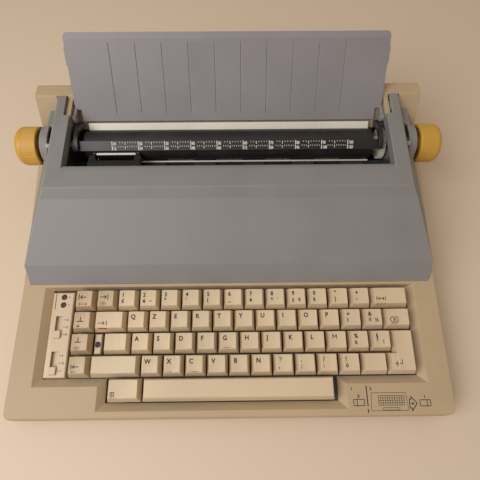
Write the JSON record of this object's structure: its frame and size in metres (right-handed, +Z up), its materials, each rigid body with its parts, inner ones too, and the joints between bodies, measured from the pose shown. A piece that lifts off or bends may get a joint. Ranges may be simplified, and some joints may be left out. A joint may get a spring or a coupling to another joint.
{
  "type": "electronic typewriter",
  "caption": "Portable electronic typewriter with a lifting cover, print wheel carriage, turning platen with side knobs, hinged paper support, lifting bail and sprung keys.",
  "frame": {"origin": "on the surface the feet stand on, below the middle of the overall box", "axes": "+X to the typist's right along the platen, +Y away from the typist, +Z up"},
  "size_m": [0.418, 0.3226, 0.1471],
  "materials": {
    "case_beige": "fine spark-eroded texture",
    "case_lower": "fine spark-eroded texture",
    "cover_grey": "fine spark-eroded texture",
    "support_grey": "smooth satin",
    "foot_rubber": "matt",
    "zinc_steel": "zinc plated",
    "bright_steel": "ground",
    "plate_dark": "matt black-grey",
    "strip_cream": "satin",
    "lamp": "clear dark red, unlit",
    "key_cream": "satin",
    "key_tan": "satin",
    "platen_rubber": "ground matt",
    "knob_mustard": "satin",
    "nylon": "natural",
    "motor_dark": "satin",
    "roller_rubber": "matt",
    "chute_cream": "satin",
    "bail_black": "satin",
    "lever_grey": "satin",
    "carriage_black": "satin",
    "wheel_black": "satin",
    "cassette_black": "satin",
    "guide_silver": "bright",
    "belt_rubber": "matt",
    "board_green": "solder mask",
    "socket_black": "gloss"
  },
  "bodies": {
    "base": {"bottom_case": "case_lower", "upper_case": "case_beige", "rubber_feet": "foot_rubber", "case_screws": "zinc_steel", "keyboard_plate": "plate_dark", "control_strip": "strip_cream", "indicator_lamps": "lamp", "chassis": "zinc_steel", "carriage_rods": "bright_steel", "platen_bushes": "nylon", "feed_motor": "motor_dark", "paper_chute": "chute_cream", "drive_belt": "belt_rubber", "carriage_motor": "motor_dark", "main_board": "board_green", "mains_inlet": "socket_black"},
    "cover": {"top_cover": "cover_grey"},
    "support": {"paper_support": "support_grey"},
    "platen_unit": {"platen": "platen_rubber", "platen_shaft": "bright_steel", "left_knob": "knob_mustard", "right_knob": "knob_mustard", "platen_gear": "nylon"},
    "idler": {"idler_gear": "nylon"},
    "pinion": {"feed_pinion": "nylon"},
    "front_roller": {"front_feed_roller": "roller_rubber"},
    "rear_roller": {"rear_feed_roller": "roller_rubber"},
    "bail": {"bail_scale": "bail_black", "bail_arms": "bail_black"},
    "left_lever": {"paper_release_lever": "lever_grey"},
    "right_lever": {"platen_release_lever": "lever_grey"},
    "carriage_unit": {"carriage": "carriage_black", "wheel_motor": "motor_dark", "ribbon_cassette": "cassette_black", "card_guide": "guide_silver"},
    "wheel": {"print_wheel": "wheel_black"},
    "hammer": {"print_hammer": "bright_steel"},
    "motor_pulley": {"left_pulley": "nylon"},
    "idle_pulley": {"right_pulley": "nylon"},
    "pitch_knob": {"pitch_slider": "strip_cream"},
    "line_knob": {"line_space_slider": "strip_cream"},
    "rocker": {"power_switch": "socket_black"},
    "number_row_keys_body": {"number_row_keys": "key_cream"},
    "upper_row_keys_body": {"upper_row_keys": "key_cream"},
    "home_row_keys_body": {"home_row_keys": "key_cream"},
    "lower_row_keys_body": {"lower_row_keys": "key_cream"},
    "margin_left_key_body": {"margin_left_key": "key_tan"},
    "margin_right_key_body": {"margin_right_key": "key_tan"},
    "backspace_key_body": {"backspace_key": "key_cream"},
    "tab_set_key_body": {"tab_set_key": "key_tan"},
    "tab_key_body": {"tab_key": "key_cream"},
    "correction_key_body": {"correction_key": "key_cream"},
    "tab_clear_key_body": {"tab_clear_key": "key_tan"},
    "shift_lock_key_body": {"shift_lock_key": "key_cream"},
    "return_key_body": {"return_key": "key_cream"},
    "relocate_key_body": {"relocate_key": "key_tan"},
    "left_shift_key_body": {"left_shift_key": "key_cream"},
    "right_shift_key_body": {"right_shift_key": "key_cream"},
    "code_key_body": {"code_key": "key_cream"},
    "space_bar_body": {"space_bar": "key_cream"}
  },
  "joints": [
    {"name": "cover_hinge", "type": "hinge", "parent": "base", "child": "cover", "pos_m": [0, 0.11674, 0.0955], "axis": [-1, 0, 0], "range_deg": [0, 60]},
    {"name": "support_hinge", "type": "hinge", "parent": "base", "child": "support", "pos_m": [0, 0.10724, 0.09077], "axis": [-1, 0, 0], "range_deg": [-128.5, 0]},
    {"name": "platen_turn", "type": "hinge", "parent": "base", "child": "platen_unit", "pos_m": [0, 0.09074, 0.071], "axis": [1, 0, 0], "continuous": true},
    {"name": "idler_turn", "type": "hinge", "parent": "base", "child": "idler", "pos_m": [0.152, 0.10491, 0.05527], "axis": [1, 0, 0], "continuous": true},
    {"name": "pinion_turn", "type": "hinge", "parent": "base", "child": "pinion", "pos_m": [0.152, 0.11419, 0.04496], "axis": [1, 0, 0], "continuous": true},
    {"name": "front_roller_turn", "type": "hinge", "parent": "base", "child": "front_roller", "pos_m": [0, 0.08051, 0.05463], "axis": [1, 0, 0], "continuous": true},
    {"name": "rear_roller_turn", "type": "hinge", "parent": "base", "child": "rear_roller", "pos_m": [0, 0.09343, 0.05189], "axis": [1, 0, 0], "continuous": true},
    {"name": "bail_lift", "type": "hinge", "parent": "base", "child": "bail", "pos_m": [0, 0.10474, 0.0839], "axis": [-1, 0, 0], "range_deg": [0, 30]},
    {"name": "paper_release", "type": "hinge", "parent": "base", "child": "left_lever", "pos_m": [-0.173, 0.09074, 0.071], "axis": [-1, 0, 0], "range_deg": [0, 49]},
    {"name": "platen_release", "type": "hinge", "parent": "base", "child": "right_lever", "pos_m": [0.173, 0.09074, 0.071], "axis": [-1, 0, 0], "range_deg": [0, 49]},
    {"name": "carriage_travel", "type": "slide", "parent": "base", "child": "carriage_unit", "axis": [1, 0, 0], "range_m": [0, 0.228]},
    {"name": "wheel_turn", "type": "hinge", "parent": "carriage_unit", "child": "wheel", "pos_m": [-0.11, 0.07334, 0.043], "axis": [0, 1, 0], "continuous": true},
    {"name": "hammer_strike", "type": "slide", "parent": "carriage_unit", "child": "hammer", "axis": [0, 1, 0], "range_m": [0, 0.0015], "stiffness_N_per_m": 200, "springref_m": -0.001},
    {"name": "motor_pulley_turn", "type": "hinge", "parent": "base", "child": "motor_pulley", "pos_m": [-0.144, 0.03074, 0.02], "axis": [0, 1, 0], "continuous": true},
    {"name": "idle_pulley_turn", "type": "hinge", "parent": "base", "child": "idle_pulley", "pos_m": [0.144, 0.03074, 0.02], "axis": [0, 1, 0], "continuous": true},
    {"name": "pitch_select", "type": "slide", "parent": "base", "child": "pitch_knob", "axis": [0, 0.9925, 0.1219], "range_m": [0, 0.0128]},
    {"name": "line_space_select", "type": "slide", "parent": "base", "child": "line_knob", "axis": [0, 0.9925, 0.1219], "range_m": [0, 0.0128]},
    {"name": "power_rocker", "type": "hinge", "parent": "base", "child": "rocker", "pos_m": [0.15, 0.14274, 0.04], "axis": [1, 0, 0], "range_deg": [0, 18]},
    {"name": "number_row_keys_press", "type": "slide", "parent": "base", "child": "number_row_keys_body", "axis": [0, 0.1219, -0.9925], "range_m": [0, 0.0035], "stiffness_N_per_m": 900, "springref_m": -0.002},
    {"name": "upper_row_keys_press", "type": "slide", "parent": "base", "child": "upper_row_keys_body", "axis": [0, 0.1219, -0.9925], "range_m": [0, 0.0035], "stiffness_N_per_m": 900, "springref_m": -0.002},
    {"name": "home_row_keys_press", "type": "slide", "parent": "base", "child": "home_row_keys_body", "axis": [0, 0.1219, -0.9925], "range_m": [0, 0.0035], "stiffness_N_per_m": 900, "springref_m": -0.002},
    {"name": "lower_row_keys_press", "type": "slide", "parent": "base", "child": "lower_row_keys_body", "axis": [0, 0.1219, -0.9925], "range_m": [0, 0.0035], "stiffness_N_per_m": 900, "springref_m": -0.002},
    {"name": "margin_left_key_press", "type": "slide", "parent": "base", "child": "margin_left_key_body", "axis": [0, 0.1219, -0.9925], "range_m": [0, 0.0035], "stiffness_N_per_m": 150, "springref_m": -0.002},
    {"name": "margin_right_key_press", "type": "slide", "parent": "base", "child": "margin_right_key_body", "axis": [0, 0.1219, -0.9925], "range_m": [0, 0.0035], "stiffness_N_per_m": 150, "springref_m": -0.002},
    {"name": "backspace_key_press", "type": "slide", "parent": "base", "child": "backspace_key_body", "axis": [0, 0.1219, -0.9925], "range_m": [0, 0.0035], "stiffness_N_per_m": 150, "springref_m": -0.002},
    {"name": "tab_set_key_press", "type": "slide", "parent": "base", "child": "tab_set_key_body", "axis": [0, 0.1219, -0.9925], "range_m": [0, 0.0035], "stiffness_N_per_m": 150, "springref_m": -0.002},
    {"name": "tab_key_press", "type": "slide", "parent": "base", "child": "tab_key_body", "axis": [0, 0.1219, -0.9925], "range_m": [0, 0.0035], "stiffness_N_per_m": 150, "springref_m": -0.002},
    {"name": "correction_key_press", "type": "slide", "parent": "base", "child": "correction_key_body", "axis": [0, 0.1219, -0.9925], "range_m": [0, 0.0035], "stiffness_N_per_m": 150, "springref_m": -0.002},
    {"name": "tab_clear_key_press", "type": "slide", "parent": "base", "child": "tab_clear_key_body", "axis": [0, 0.1219, -0.9925], "range_m": [0, 0.0035], "stiffness_N_per_m": 150, "springref_m": -0.002},
    {"name": "shift_lock_key_press", "type": "slide", "parent": "base", "child": "shift_lock_key_body", "axis": [0, 0.1219, -0.9925], "range_m": [0, 0.0035], "stiffness_N_per_m": 150, "springref_m": -0.002},
    {"name": "return_key_press", "type": "slide", "parent": "base", "child": "return_key_body", "axis": [0, 0.1219, -0.9925], "range_m": [0, 0.0035], "stiffness_N_per_m": 150, "springref_m": -0.002},
    {"name": "relocate_key_press", "type": "slide", "parent": "base", "child": "relocate_key_body", "axis": [0, 0.1219, -0.9925], "range_m": [0, 0.0035], "stiffness_N_per_m": 150, "springref_m": -0.002},
    {"name": "left_shift_key_press", "type": "slide", "parent": "base", "child": "left_shift_key_body", "axis": [0, 0.1219, -0.9925], "range_m": [0, 0.0035], "stiffness_N_per_m": 150, "springref_m": -0.002},
    {"name": "right_shift_key_press", "type": "slide", "parent": "base", "child": "right_shift_key_body", "axis": [0, 0.1219, -0.9925], "range_m": [0, 0.0035], "stiffness_N_per_m": 150, "springref_m": -0.002},
    {"name": "code_key_press", "type": "slide", "parent": "base", "child": "code_key_body", "axis": [0, 0.1219, -0.9925], "range_m": [0, 0.0035], "stiffness_N_per_m": 150, "springref_m": -0.002},
    {"name": "space_bar_press", "type": "slide", "parent": "base", "child": "space_bar_body", "axis": [0, 0.1219, -0.9925], "range_m": [0, 0.0035], "stiffness_N_per_m": 400, "springref_m": -0.002}
  ],
  "couplings": [
    {"joint": "idler_turn", "follows": "platen_turn", "ratio": -2.2222},
    {"joint": "pinion_turn", "follows": "platen_turn", "ratio": 2},
    {"joint": "front_roller_turn", "follows": "platen_turn", "ratio": -2.8},
    {"joint": "rear_roller_turn", "follows": "platen_turn", "ratio": -2.8},
    {"joint": "motor_pulley_turn", "follows": "carriage_travel", "rad_per_m": 166.67},
    {"joint": "idle_pulley_turn", "follows": "carriage_travel", "rad_per_m": 166.67}
  ]
}
